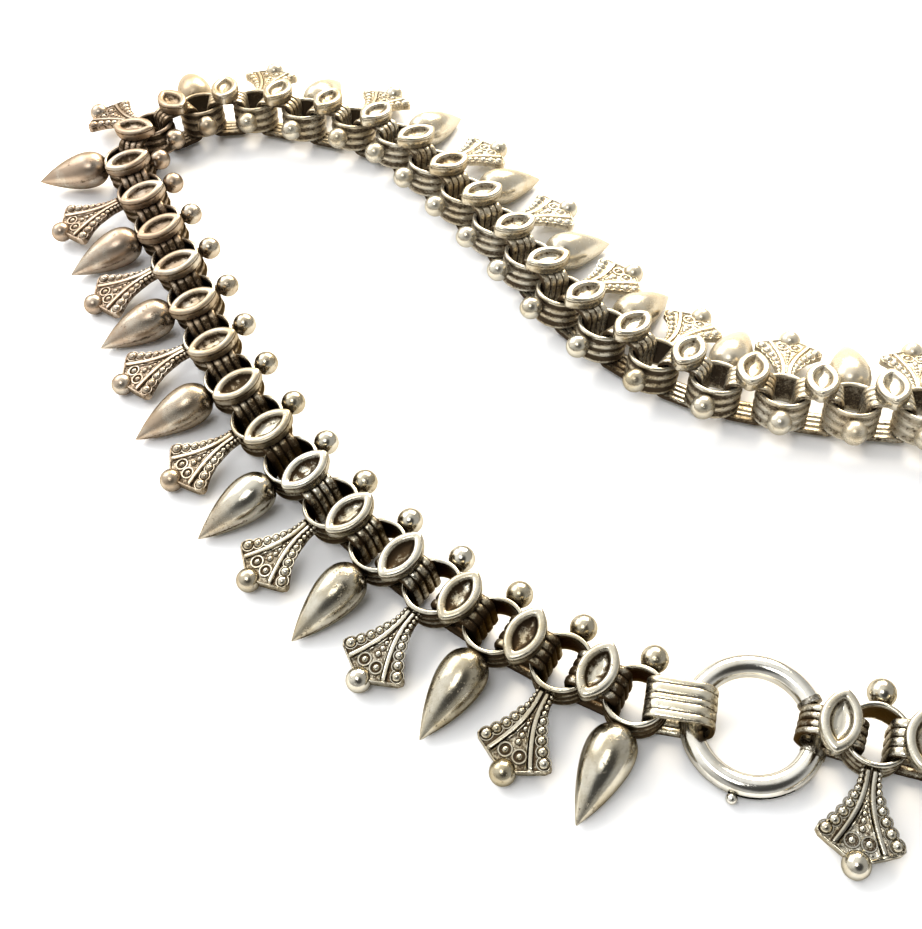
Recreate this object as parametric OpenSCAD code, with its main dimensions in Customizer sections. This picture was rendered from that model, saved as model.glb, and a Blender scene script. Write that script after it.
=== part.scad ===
// Silver collar necklace: reeded ring links with a ball on the neck side and a
// pointed or a fan shaped drop on the outer side, joined by reeded straps that
// carry marquise collets, and closed by a bolt ring. It lies flat as a loop.
// Each ring is drawn in its own frame: X along the chain, Y towards the neck,
// Z along the ring's axis, with the ring's middle at the origin.

/* [Chain] */
// Distance from one ring link's centre to the next
link_pitch = 10; // [9.9:0.05:10.2]
// Outward lean of the links, the drop side lower than the ball side
lean = 10; // [6:1:11]
// Outward lean in the tight bend
bend_lean = 6; // [4:1:10]

/* [Ring links] */
// Outer diameter of a ring link
ring_outer = 8.2; // [8:0.1:8.4]
// Inner diameter of a ring link
ring_inner = 7; // [6.9:0.1:7.1]
// Height of a ring link
ring_height = 5; // [4.8:0.1:5.1]
// Diameter of the ball on the neck side
ball_d = 3.6; // [3.2:0.1:4]

/* [Drops] */
// Distance from the ring's centre to the tip of a pointed drop
point_reach = 17; // [16:0.1:18]
// Largest diameter of a pointed drop
point_d = 6.4; // [5.8:0.1:6.6]
// Width of a fan drop between its corners
fan_width = 10.3; // [9.4:0.1:10.6]
// Thickness of a fan drop's plate
fan_plate = 1; // [0.8:0.1:1.2]
// Height of the relief on a fan drop
fan_relief = 0.5; // [0.3:0.1:0.6]
// Diameter of the ball at the foot of a fan drop
foot_ball_d = 3.4; // [3:0.1:3.6]

/* [Marquise links] */
// Width of the reeded strap
strap_width = 4.8; // [4.4:0.1:4.9]
// Width of the strap that passes through the clasp's gap
narrow_strap_width = 4.2; // [3.8:0.1:4.3]
// Thickness of a strap
strap_thick = 0.85; // [0.7:0.05:0.9]
// Ribs across a strap
strap_ribs = 4; // [3:1:5]
// Length of a collet across the chain
collet_length = 8.3; // [7.6:0.1:8.6]
// Width of a collet along the chain
collet_width = 5; // [4.6:0.1:5.2]
// Height of a collet above its strap
collet_height = 2.05; // [1.6:0.05:2.4]

/* [Bolt ring] */
// Diameter of the bolt ring at the middle of its tube
bolt_d = 15.2; // [15:0.1:15.4]
// Outer diameter of the tube
tube_outer = 2.9; // [2.8:0.1:3]
// Bore of the tube
tube_bore = 1.84; // [1.8:0.02:1.9]
// Diameter of the sliding tongue's wire
tongue_d = 1.5; // [1.3:0.05:1.5]
// Width of the strap at the end of the chain
end_strap_width = 5.2; // [4.6:0.1:5.3]
// Ribs across the end strap
end_strap_ribs = 5; // [4:1:6]

/* [Hidden] */
smooth = 48;
small_smooth = 24;
silver = [0.78, 0.75, 0.68];
bright_silver = [0.86, 0.85, 0.82];

// The chain's way round the table, a row for each run of links that turn alike.
links = 0;
turn = 1;
bends = [
    [5, -4.5],
    [4, -4],
    [3, 1.5],
    [1, -3.5],
    [1, -41],
    [1, -37.5],
    [1, -31.5],
    [1, -22],
    [1, -1],
    [1, -14.5],
    [1, -19],
    [4, -2],
    [2, 9],
    [1, 12],
    [1, 13.5],
    [2, 5],
    [1, -4],
    [5, -22],
    [4, -19],
];
first_heading = 148;
first_ring = [1.52, -58.79];
clasp_from_first = 14.5;
turns = [for (run = bends) for (k = [1 : run[links]]) run[turn]];
function running_sum(values, total, i = 0) =
    i == len(values) ? [total] : concat([total], running_sum(values, total + values[i], i + 1));
headings = running_sum(turns, first_heading);
function walk(point, i = 0) =
    i == len(headings) ? [point] : concat([point], walk(point + link_pitch * towards(headings[i]), i + 1));
function towards(angle) = [cos(angle), sin(angle)];
centres = walk(first_ring);
ring_count = len(centres);
last_ring = ring_count - 1;

// The lean along the chain, by ring number.
lean_along = [[0, lean], [11, lean], [14, bend_lean], [16, bend_lean], [19, lean], [last_ring, lean]];
function lean_at(place) = lookup(place, lean_along);
function ring_yaw(i) =
    let (before = headings[max(i - 1, 0)], after = headings[min(i, last_ring - 1)])
        (before + after) / 2 - 180 + lookup(i, own_turns);

// Turn of a ring about its own axis, by ring number, so that crowded drops clear each other.
own_turns = [[25, 0], [26, 1.5], [27, 0.5], [28, -2], [29, 0]];

// A strap is a closed loop round the walls of two rings.
strap_slack = 0.25;
loop_half_z = ring_height / 2 + strap_slack;
loop_half_x = 2.85;
strap_half_z = loop_half_z + strap_thick;
loop_corner = 0.9;
groove_depth = 0.2;
groove_share = 0.2;
edge_bead = 0.05;
rest_lift = 0.12;
link_z = rest_lift + strap_half_z * cos(lean) + strap_width / 2 * sin(lean);

// Ring link.
rib_r = 0.34;
ring_ribs = 4;
wall_r = ring_inner / 2;
ring_r = ring_outer / 2;
rib_centre_r = ring_r - rib_r;
ball_r = ball_d / 2;
ball_lift = 0.65;
ball_neck_r = 0.8;
solder_depth = 0.1;
ball_neck_start = wall_r + solder_depth;

// Pointed drop: distance along its axis and radius, as shares of its length and largest radius.
point_start = 3.8;
point_lift = 1.49;
point_slope = 5.8;
point_length = point_reach - point_start;
along = 0;
wide = 1;
point_outline = [
    [0, 0.2],
    [0.02, 0.42],
    [0.06, 0.66],
    [0.12, 0.85],
    [0.2, 0.965],
    [0.3, 1],
    [0.4, 0.965],
    [0.5, 0.88],
    [0.6, 0.765],
    [0.7, 0.62],
    [0.8, 0.45],
    [0.9, 0.25],
    [0.97, 0.1],
    [1, 0.03],
];

// Fan drop: distance from the ring's centre and half width, as a share of the full half width.
fan_lift = 1.2;
fan_slope = 3.4;
fan_half = fan_width / 2;
foot_ball_r = foot_ball_d / 2;
foot_reach = 15.3;
foot_lift = 0.15;
reach = 0;
fan_outline = [
    [3.6, 0.22],
    [5.6, 0.24],
    [7.2, 0.32],
    [8.8, 0.43],
    [10.2, 0.6],
    [11.3, 0.81],
    [12, 0.97],
    [12.5, 1],
    [13.1, 0.91],
    [13.8, 0.66],
    [14.4, 0.43],
    [14.8, 0.28],
];
ridge_width = 0.8;
ridge_line = [
    [4.2, 0.45],
    [6.6, 0.5],
    [8.6, 0.85],
    [10.4, 1.45],
    [12, 2.15],
    [13.6, 2.95],
];
// Granules in a side panel: distance from the ring's centre, distance from the middle, radius.
side_granules = [
    [5.2, 1, 0.26],
    [6.2, 1.12, 0.3],
    [7.3, 1.42, 0.34],
    [8.4, 1.78, 0.38],
    [9.5, 2.3, 0.44],
    [10.6, 3.08, 0.5],
    [11.9, 4, 0.62],
];
middle_granules = [
    [8.9, 0, 0.34],
    [9.9, 0, 0.38],
    [11, 0, 0.42],
];
grain_r = 2;
grain_lift = 0.1;
rosette_reach = 12.75;
rosette_side = 0.98;
rosette_r = 0.68;
rosette_wire_r = 0.2;
rosette_dot_r = 0.32;

// Collet: two leaning discs whose common part is a marquise.
collet_seat = 0.12;
collet_base = strap_half_z - collet_seat;
collet_rise = collet_height + collet_seat;
recess_length = 5.7;
recess_width = 2.9;
recess_depth = 1.15;
function arc_r(length, width) = (length * length + width * width) / (4 * width);

// Bolt ring, in a frame with X from the chain's first ring to its last.
clasp_line = centres[last_ring] - centres[0];
clasp_yaw = atan2(clasp_line.y, clasp_line.x);
clasp_centre = centres[0] + clasp_from_first * towards(clasp_yaw);
bolt_r = bolt_d / 2;
tube_r = tube_outer / 2;
clasp_z = rest_lift + bolt_r * sin(lean) + tube_r;
gap_start = -15;
gap_end = 29;
tongue_start = -18;
knob_angle = 259;
knob_travel = 44;
knob_r = 0.75;
knob_reach = 9.6;
peg_r = 0.3;
slot_half = 0.42;
slot_margin = 4;
collar_r = tube_r + 0.12;
collar_angle = 5;
last_strap_place = [8.98, 0.14];
last_strap_yaw = -9;
last_strap_half_x = 3.15;
last_collet_shift = 0.3;
end_strap_from = -12.65;
end_strap_to = -5.42;

function two_digits(number) = number < 10 ? str("0", number) : str(number);
ring_names = [
    for (i = [0 : last_ring]) str(i % 2 == 0 ? "pointed_link_" : "fan_link_", two_digits(i + 1))
];
left_half = [0 : 20];
right_half = [21 : last_ring - 1];

module at_ring(i) {
    translate([centres[i].x, centres[i].y, link_z])
        rotate([0, 0, ring_yaw(i)])
            rotate([lean_at(i), 0, 0])
                children();
}

module at_joint(i) {
    middle = (centres[i] + centres[i + 1]) / 2;
    translate([middle.x, middle.y, link_z])
        rotate([0, 0, headings[i] - 180])
            rotate([lean_at(i + 0.5), 0, 0])
                children();
}

module at_clasp(height) {
    translate([clasp_centre.x, clasp_centre.y, height])
        rotate([0, 0, clasp_yaw])
            rotate([lean, 0, 0])
                children();
}

// Short tube with a stack of rounded ribs, the top and bottom ones as full wires.
module ring_band() {
    rib_step = (ring_height - 2 * rib_r) / (ring_ribs - 1);
    rotate_extrude($fn = smooth) {
        translate([wall_r, rib_r - ring_height / 2])
            square([rib_centre_r - wall_r, ring_height - 2 * rib_r]);
        for (k = [0 : ring_ribs - 1])
            translate([rib_centre_r, k * rib_step - (ring_height - 2 * rib_r) / 2])
                circle(r = rib_r, $fn = small_smooth);
    }
}

module neck_ball() {
    centre = ring_r + ball_r - solder_depth;
    translate([0, centre, ball_lift])
        sphere(r = ball_r, $fn = smooth);
    translate([0, ball_neck_start, ball_lift])
        rotate([-90, 0, 0])
            cylinder(r = ball_neck_r, h = centre - ball_neck_start, $fn = small_smooth);
}

module pointed_drop() {
    profile = [
        for (row = point_outline) [row[wide] * point_d / 2, row[along] * point_length]
    ];
    translate([0, 0, point_lift])
        rotate([point_slope, 0, 0])
            translate([0, -point_start, 0])
                rotate([90, 0, 0])
                    rotate_extrude($fn = smooth)
                        polygon(concat([[0, 0]], profile, [[0, point_length]]));
}

module granules(rows, side, top) {
    for (row = rows)
        translate([side * row[1], -row[reach], top + grain_lift * row[grain_r]])
            sphere(r = row[grain_r], $fn = small_smooth);
}

module ridge(side) {
    inner = [for (row = ridge_line) [side * (row[1] - ridge_width / 2), -row[reach]]];
    outer = [for (row = ridge_line) [side * (row[1] + ridge_width / 2), -row[reach]]];
    last = len(outer) - 1;
    linear_extrude(fan_plate / 2 + fan_relief)
        polygon(concat(inner, [for (k = [0 : last]) outer[last - k]]));
}

module rosette(side, top) {
    translate([side * rosette_side, -rosette_reach, top]) {
        rotate_extrude($fn = small_smooth)
            translate([rosette_r, 0])
                circle(r = rosette_wire_r, $fn = small_smooth);
        sphere(r = rosette_dot_r, $fn = small_smooth);
    }
}

module fan_drop() {
    top = fan_plate / 2;
    last = len(fan_outline) - 1;
    right = [for (row = fan_outline) [row[wide] * fan_half, -row[reach]]];
    left = [for (k = [0 : last]) [-right[last - k].x, right[last - k].y]];
    translate([0, 0, fan_lift])
        rotate([fan_slope, 0, 0]) {
            translate([0, 0, -top])
                linear_extrude(fan_plate)
                    polygon(concat(right, left));
            for (side = [-1, 1]) {
                ridge(side);
                granules(side_granules, side, top);
                rosette(side, top);
            }
            granules(middle_granules, 1, top);
            translate([0, -foot_reach, foot_lift])
                sphere(r = foot_ball_r, $fn = smooth);
        }
}

module ring_link(i) {
    color(silver)
        at_ring(i) {
            ring_band();
            neck_ball();
            if (i % 2 == 0) pointed_drop(); else fan_drop();
        }
}

module rounded_box(half_x, half_z, corner) {
    square([2 * (half_x - corner), 2 * half_z], center = true);
    square([2 * half_x, 2 * (half_z - corner)], center = true);
    for (side = [-1, 1], level = [-1, 1])
        translate([side * (half_x - corner), level * (half_z - corner)])
            circle(r = corner, $fn = small_smooth);
}

// A slice of a strap, a closed loop of the given thickness round two ring walls.
module strap_slice(half_x, thick, width) {
    rotate([90, 0, 0])
        linear_extrude(width, center = true)
            difference() {
                rounded_box(half_x + thick, loop_half_z + thick, loop_corner + thick);
                rounded_box(half_x, loop_half_z, loop_corner);
            }
}

module strap(half_x, width, ribs) {
    rib_pitch = width / ribs;
    strap_slice(half_x, strap_thick - groove_depth, width - 2 * edge_bead);
    for (k = [0 : ribs - 1])
        translate([0, (k + 0.5) * rib_pitch - width / 2, 0])
            strap_slice(half_x, strap_thick, rib_pitch * (1 - groove_share));
}

// Disc with a rounded edge, standing on its flat side.
module collet_disc(r, height) {
    rotate_extrude($fn = smooth)
        polygon([
            [0, 0],
            [r - 0.75, 0],
            [r - 0.3, 0.3 * height],
            [r - 0.03, 0.6 * height],
            [r, 0.74 * height],
            [r - 0.12, 0.89 * height],
            [r - 0.42, height],
            [0, height],
        ]);
}

module recess_disc(r) {
    rotate_extrude($fn = smooth)
        polygon([
            [0, 0],
            [r - 0.95, 0],
            [r - 0.5, 0.25 * recess_depth],
            [r - 0.12, 0.75 * recess_depth],
            [r, recess_depth],
            [r, recess_depth + 0.5],
            [0, recess_depth + 0.5],
        ]);
}

module collet() {
    outer_r = arc_r(collet_length, collet_width);
    inner_r = arc_r(recess_length, recess_width);
    outer_shift = outer_r - collet_width / 2;
    inner_shift = inner_r - recess_width / 2;
    translate([0, 0, collet_base])
        difference() {
            intersection() {
                translate([outer_shift, 0, 0]) collet_disc(outer_r, collet_rise);
                translate([-outer_shift, 0, 0]) collet_disc(outer_r, collet_rise);
            }
            translate([0, 0, collet_rise - recess_depth])
                intersection() {
                    translate([inner_shift, 0, 0]) recess_disc(inner_r);
                    translate([-inner_shift, 0, 0]) recess_disc(inner_r);
                }
        }
}

module marquise_link(half_x, width, collet_shift = 0) {
    strap(half_x, width, strap_ribs);
    translate([collet_shift, 0, 0]) collet();
}

module marquise_links_left() {
    color(silver)
        for (i = left_half)
            at_joint(i) marquise_link(loop_half_x, strap_width);
}

module marquise_links_right() {
    color(silver) {
        for (i = right_half)
            at_joint(i) marquise_link(loop_half_x, strap_width);
        at_clasp(link_z)
            translate([last_strap_place.x, last_strap_place.y, 0])
                rotate([0, 0, last_strap_yaw])
                    marquise_link(last_strap_half_x, narrow_strap_width, last_collet_shift);
    }
}

module end_strap() {
    color(silver)
        at_clasp(link_z)
            translate([(end_strap_from + end_strap_to) / 2, 0, 0])
                strap((end_strap_to - end_strap_from) / 2, end_strap_width, end_strap_ribs);
}

module arc_tube(from, to, outer, inner) {
    rotate([0, 0, from])
        rotate_extrude(angle = to - from, $fn = smooth)
            translate([bolt_r, 0])
                difference() {
                    circle(r = outer, $fn = small_smooth);
                    circle(r = inner, $fn = small_smooth);
                }
}

module bolt_ring_case() {
    color(bright_silver)
        at_clasp(clasp_z)
            difference() {
                union() {
                    arc_tube(gap_end, gap_start + 360, tube_r, tube_bore / 2);
                    arc_tube(gap_end, gap_end + collar_angle, collar_r, tube_bore / 2);
                    arc_tube(gap_start + 360 - collar_angle, gap_start + 360, collar_r, tube_bore / 2);
                }
                rotate([0, 0, knob_angle - slot_margin])
                    rotate_extrude(angle = knob_travel + 2 * slot_margin, $fn = smooth)
                        translate([bolt_r + tube_bore / 4, -slot_half])
                            square([tube_r, 2 * slot_half]);
            }
}

module bolt_ring_tongue() {
    color(bright_silver)
        at_clasp(clasp_z) {
            rotate([0, 0, tongue_start])
                rotate_extrude(angle = knob_angle + slot_margin - tongue_start, $fn = smooth)
                    translate([bolt_r, 0])
                        circle(d = tongue_d, $fn = small_smooth);
            rotate([0, 0, knob_angle]) {
                translate([bolt_r, 0, 0])
                    rotate([0, 90, 0])
                        cylinder(r = peg_r, h = knob_reach - bolt_r, $fn = small_smooth);
                translate([knob_reach, 0, 0])
                    sphere(r = knob_r, $fn = small_smooth);
            }
        }
}

for (i = [0 : last_ring])
    ring_link(i);
marquise_links_left();
marquise_links_right();
end_strap();
bolt_ring_case();
bolt_ring_tongue();
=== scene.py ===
import math
import bpy
import numpy as np
from mathutils import Matrix, Vector


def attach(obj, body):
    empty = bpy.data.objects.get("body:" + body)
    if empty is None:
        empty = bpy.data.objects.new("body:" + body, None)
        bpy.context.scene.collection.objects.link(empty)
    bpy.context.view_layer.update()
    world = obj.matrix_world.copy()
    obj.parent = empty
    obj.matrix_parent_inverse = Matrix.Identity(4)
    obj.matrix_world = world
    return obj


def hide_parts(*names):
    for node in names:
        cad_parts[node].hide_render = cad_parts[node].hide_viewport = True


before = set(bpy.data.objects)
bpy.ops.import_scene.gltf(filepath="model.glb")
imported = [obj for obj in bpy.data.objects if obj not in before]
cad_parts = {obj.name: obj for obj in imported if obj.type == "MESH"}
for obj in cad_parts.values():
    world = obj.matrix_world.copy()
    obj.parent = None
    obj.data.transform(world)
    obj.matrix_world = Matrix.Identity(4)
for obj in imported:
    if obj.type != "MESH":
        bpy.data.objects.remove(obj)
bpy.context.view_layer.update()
mm = 0.001
print("necklace frame loaded,", len(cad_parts), "nodes")


# Camera, at the height and angle of the photo; place is in millimetres, focal in pixels

camera = dict(place=(-18.86, -132.45, 142.27), pitch=50.698, roll=-3.34, yaw=-0.462, focal=1246.1,
              imageWide=922, sensorWide=36, clipStart=0.01)


def addCamera():
    pitch, roll = math.radians(camera["pitch"]), math.radians(camera["roll"])
    ahead = Vector((0, math.cos(pitch), -math.sin(pitch)))
    right = Vector((math.cos(roll), math.sin(roll) * math.sin(pitch), math.sin(roll) * math.cos(pitch)))
    up = right.cross(ahead)
    facing = Matrix((right, up, -ahead)).transposed().to_4x4()
    turned = Matrix.Rotation(math.radians(camera["yaw"]), 4, "Z") @ facing
    data = bpy.data.cameras.new("tableCamera")
    data.sensor_fit = "HORIZONTAL"
    data.sensor_width = camera["sensorWide"]
    data.lens = camera["sensorWide"] * camera["focal"] / camera["imageWide"]
    data.clip_start = camera["clipStart"]
    eye = bpy.data.objects.new("tableCamera", data)
    bpy.context.scene.collection.objects.link(eye)
    eye.matrix_world = Matrix.Translation(Vector(camera["place"]) * mm) @ turned
    bpy.context.scene.camera = eye


addCamera()
print("camera placed")


# Shader maths

class Wire:
    # a socket that takes part in sums, so that an expression adds its Math nodes
    def __init__(self, tree, socket):
        self.tree = tree
        self.socket = socket

    def make(self, kind, settings=None, sockets=None, out=0):
        # any node: its settings are set first, then its sockets get their values or links
        made = self.tree.nodes.new(kind)
        for key, value in (settings or {}).items():
            setattr(made, key, value)
        for key, value in (sockets or {}).items():
            if isinstance(value, Wire):
                value.plug(made.inputs[key])
            else:
                made.inputs[key].default_value = value
        return Wire(self.tree, made.outputs[out])

    def plug(self, socket):
        self.tree.links.new(self.socket, socket)

    def maths(self, operation, first, second):
        return self.make("ShaderNodeMath", {"operation": operation}, {0: first, 1: second})

    def __add__(self, other):
        return self.maths("ADD", self, other)

    def __radd__(self, other):
        return self.maths("ADD", other, self)

    def __sub__(self, other):
        return self.maths("SUBTRACT", self, other)

    def __rsub__(self, other):
        return self.maths("SUBTRACT", other, self)

    def __mul__(self, other):
        return self.maths("MULTIPLY", self, other)

    def __rmul__(self, other):
        return self.maths("MULTIPLY", other, self)

    def clamp(self):
        return self.make("ShaderNodeClamp", None, {"Value": self})

    def step(self, low, high):
        return self.make("ShaderNodeMapRange", {"interpolation_type": "SMOOTHSTEP"},
                         {"Value": self, "From Min": low, "From Max": high})

    def mix(self, low, high):
        # low and high are colours, self is the share of high
        return self.make("ShaderNodeMix", {"data_type": "RGBA"}, {0: self, 6: low, 7: high}, 2)


def newMaterial(name):
    material = bpy.data.materials.new(name)
    material.use_nodes = True
    return material, material.node_tree.nodes["Principled BSDF"]


# Silver, with a patina that sits where the mesh says

# colours of the clean metal, its film and its dirt, then of the film on the left side, and of the film at the
# back, which is partly painted light
silverLooks = dict(
    ring=dict(bright=(0.5, 0.475, 0.4, 1), film=(0.305, 0.26, 0.17, 1), dark=(0.05, 0.034, 0.019, 1),
              blush=(0.32, 0.243, 0.178, 1), backTintAndLight=(0.42, 0.34, 0.215, 1), roughLow=0.13, roughHigh=0.5,
              dirt=1.0, mottle=0.9, dull=0.6, matt=0.3, dents=0.03, pits=0.9),
    strap=dict(bright=(0.49, 0.463, 0.385, 1), film=(0.29, 0.245, 0.158, 1), dark=(0.046, 0.03, 0.016, 1),
               blush=(0.32, 0.235, 0.165, 1), backTintAndLight=(0.41, 0.325, 0.2, 1), roughLow=0.22, roughHigh=0.55,
               dirt=1.1, mottle=0.9, dull=0.6, matt=0.05, dents=0.02, pits=1.2),
    endStrap=dict(bright=(0.63, 0.595, 0.48, 1), film=(0.44, 0.375, 0.25, 1), dark=(0.07, 0.05, 0.03, 1),
                  blush=(0.37, 0.27, 0.19, 1), backTintAndLight=(0.4, 0.3, 0.17, 1), roughLow=0.2, roughHigh=0.5,
                  dirt=1.0, mottle=0.6, dull=0, matt=0, dents=0.02, pits=0.6),
    bolt=dict(bright=(0.62, 0.6, 0.54, 1), film=(0.41, 0.38, 0.3, 1), dark=(0.065, 0.052, 0.036, 1),
              blush=(0.35, 0.28, 0.21, 1), backTintAndLight=(0.4, 0.32, 0.2, 1), roughLow=0.11, roughHigh=0.3,
              dirt=0.8, mottle=0.4, dull=0.2, matt=0, dents=0.012, pits=0.35),
)
# what the finishes share; a noise is its scale, detail and roughness, and inner rows are shares of a sum
tarnish = dict(
    cloud=(240, 4, 0.6),  # patches a few millimetres wide
    speck=(1500, 3, 0.65),  # tarnish spots
    grain=(5200, 2, 0.6),
    scratch=(700, 4, 0.7), scratchTurn=(0.3, 0.5, 0.8), scratchStretch=(1, 14, 6),
    pitFrom=0.58, pitTo=0.7, dirtFrom=0.3, dirtTo=0.78, sootFrom=1.1, sootTo=1.7,
    dirt=dict(cloud=0.55, speck=0.8, pits=0.18),
    film=dict(cloud=2.4, cloudMiddle=0.45, tone=0.8, patina=0.7, grain=0.3, least=0.22),
    haze=dict(blush=0.5, backTintAndLight=0.3),
    rough=dict(film=0.3, dirt=0.7, blush=0.35, scratch=0.4),
    relief=dict(speck=0.009, grain=0.0025, scratch=0.005, crust=0.05, pits=0.008),  # millimetres
    soot=(0.012, 0.008, 0.006, 1),
    edgeTint=(0.45, 0.41, 0.35, 1),  # keeps tarnished walls from shining at a low angle
)


def silver(name, looks):
    material, metal = newMaterial(name)
    start = Wire(material.node_tree, metal.outputs[0])
    place = start.make("ShaderNodeTexCoord", out=3)
    stretched = start.make("ShaderNodeMapping", None, {
        "Vector": place, "Rotation": tarnish["scratchTurn"], "Scale": tarnish["scratchStretch"]})
    patina, tone, blush, backTintAndLight = [start.make("ShaderNodeAttribute", {"attribute_name": key}, out=2)
                                   for key in ("patina", "tone", "blush", "backTintAndLight")]

    def noise(key, vector=place):
        scale, detail, roughness = tarnish[key]
        return start.make("ShaderNodeTexNoise", None,
                          {"Vector": vector, "Scale": scale, "Detail": detail, "Roughness": roughness})

    # a noise swings about 0.5
    cloud, speck, grain, scratch = noise("cloud"), noise("speck"), noise("grain"), noise("scratch", stretched)
    pits = speck.step(tarnish["pitFrom"], tarnish["pitTo"]) * looks["pits"]
    t = tarnish["dirt"]
    dirt = (patina * looks["dirt"] + (cloud - 0.5) * t["cloud"] + (speck - 0.5) * t["speck"]
            + (grain - 0.5) * looks["mottle"] + pits * t["pits"]).step(tarnish["dirtFrom"], tarnish["dirtTo"])
    t = tarnish["film"]
    film = ((cloud - t["cloudMiddle"]) * t["cloud"] + (tone - 0.5) * t["tone"] + patina * t["patina"]
            + (grain - 0.5) * t["grain"] + t["least"]).clamp()
    t = tarnish["haze"]
    # at the back the film turns light and warm: partly lighter tarnish, partly painted light
    haze = backTintAndLight.mix(blush.mix(looks["film"], looks["blush"]), looks["backTintAndLight"])
    clean = (film + blush * t["blush"] + backTintAndLight * t["backTintAndLight"]).clamp().mix(looks["bright"], haze)
    sooty = patina.step(tarnish["sootFrom"], tarnish["sootTo"])
    colour = sooty.mix(dirt.mix(clean, looks["dark"]), tarnish["soot"])
    t = tarnish["rough"]
    worn = (film * t["film"] + dirt * t["dirt"] + blush * t["blush"] + backTintAndLight * looks["matt"]
            + (scratch - 0.5) * t["scratch"]).clamp()
    rough = looks["roughLow"] + (looks["roughHigh"] - looks["roughLow"]) * worn
    t = tarnish["relief"]
    height = (cloud * looks["dents"] + speck * t["speck"] + grain * (t["grain"] * (1 + looks["mottle"]))
              + scratch * t["scratch"] + dirt * speck * t["crust"] - pits * t["pits"])
    bump = start.make("ShaderNodeBump", None, {"Height": height, "Strength": 1.0, "Distance": mm})
    dull = backTintAndLight * (patina * looks["dull"] + looks["matt"]).clamp()
    varying = {"Base Color": colour, "Roughness": rough, "Normal": bump, "Metallic": 1 - dull}
    for socket, wire in varying.items():
        wire.plug(metal.inputs[socket])
    metal.inputs["Specular Tint"].default_value = tarnish["edgeTint"]
    return material


silvers = {part: silver(part + "Silver", looks) for part, looks in silverLooks.items()}
print("silver finishes made")


# Mesh building, in millimetres

class Form:
    # points, faces and how dark each point's patina is
    def __init__(self):
        self.points = np.zeros((0, 3))
        self.patina = np.zeros(0)
        self.faces = []

    def grid(self, points, patina, wrapRows=False, wrapColumns=False, flip=False):
        rows, columns = points.shape[:2]
        start = len(self.points)
        self.points = np.vstack([self.points, points.reshape(-1, 3)])
        self.patina = np.concatenate([self.patina, np.broadcast_to(patina, (rows, columns)).ravel()])
        r = np.arange(rows if wrapRows else rows - 1)[:, None]
        c = np.arange(columns if wrapColumns else columns - 1)[None, :]
        nextR, nextC = (r + 1) % rows, (c + 1) % columns
        quads = [r * columns + c, r * columns + nextC, nextR * columns + nextC, nextR * columns + c]
        if flip:
            quads.reverse()
        self.faces += (np.stack(np.broadcast_arrays(*quads), -1).reshape(-1, 4) + start).tolist()
        return start + np.arange(rows * columns).reshape(rows, columns)

    def cap(self, ring, flip=False):
        ring = list(map(int, ring))
        self.faces.append(ring[::-1] if flip else ring)

    def moved(self, place):
        other = Form()
        turn = np.array(place.to_3x3())
        other.points = self.points @ turn.T + np.array(place.translation)
        other.patina = self.patina
        other.faces = self.faces
        return other

    def add(self, other):
        start = len(self.points)
        self.points = np.vstack([self.points, other.points])
        self.patina = np.concatenate([self.patina, other.patina])
        self.faces = self.faces + [[k + start for k in face] for face in other.faces]
        return self


def revolve(profile, patina, steps, closed=False):
    # profile is (radius, height) rows, turned about Z
    around = np.linspace(0, 2 * np.pi, steps, endpoint=False)
    radius, height = np.array(profile, float).T
    points = np.stack([radius[:, None] * np.cos(around), radius[:, None] * np.sin(around),
                       np.broadcast_to(height[:, None], (len(radius), steps))], -1)
    form = Form()
    index = form.grid(points, np.array(patina, float)[:, None], wrapRows=closed, wrapColumns=True)
    if not closed:
        form.cap(index[0], flip=True)
        form.cap(index[-1])
    return form


poleGap = 0.06  # radians between a ball's last row and its pole
# painted shade under each ball starts this far below its middle
lowShadeFrom = 0.55  # how far below its middle, in radii, a ball starts to darken


def ball(radius, steps, rows, patina, lowShade):
    # painted shade: the ball is darkened towards its lowest end
    polar = np.linspace(poleGap - math.pi / 2, math.pi / 2 - poleGap, rows)
    low = np.clip((-np.sin(polar) - lowShadeFrom) / (1 - lowShadeFrom), 0, 1)
    return revolve(np.stack([radius * np.cos(polar), radius * np.sin(polar)], -1), patina + lowShade * low, steps)


def arc(centre, radius, start, end, count):
    angles = np.radians(np.linspace(start, end, count))
    return np.stack([centre[0] + radius * np.cos(angles), centre[1] + radius * np.sin(angles)], -1)


def circle(centre, radius, count):
    return arc(centre, radius, 0, 360 * (count - 1) / count, count)


def shift(x=0.0, y=0.0, z=0.0):
    return Matrix.Translation((x, y, z))


def turnX(degrees):
    return Matrix.Rotation(math.radians(degrees), 4, "X")


def turnZ(degrees):
    return Matrix.Rotation(math.radians(degrees), 4, "Z")


def ease(values):
    values = np.clip(values, 0, 1)
    return values * values * (3 - 2 * values)


def smoothCurve(rows, places):
    # a curve through rows of (place, value), eased between them
    known = np.array(rows, float)
    slopes = np.gradient(known[:, 1], known[:, 0])
    k = np.clip(np.searchsorted(known[:, 0], places) - 1, 0, len(known) - 2)
    span = known[k + 1, 0] - known[k, 0]
    t = (places - known[k, 0]) / span
    return ((2 * t**3 - 3 * t**2 + 1) * known[k, 1] + (t**3 - 2 * t**2 + t) * span * slopes[k]
            + (3 * t**2 - 2 * t**3) * known[k + 1, 1] + (t**3 - t**2) * span * slopes[k + 1])


wobbles = dict(waves=5, slow=0.6, fast=1.8, phase=6.3)


def wobble(points, scale, seed):
    # a smooth, seeded unevenness between -1 and 1
    random = np.random.default_rng(seed)
    total = np.zeros(len(points))
    for wave in range(wobbles["waves"]):
        direction = random.normal(size=3)
        direction /= np.linalg.norm(direction)
        speed = random.uniform(wobbles["slow"], wobbles["fast"])
        total += np.sin(points @ direction * scale * speed + random.uniform(0, wobbles["phase"]))
    return total / wobbles["waves"]
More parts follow.
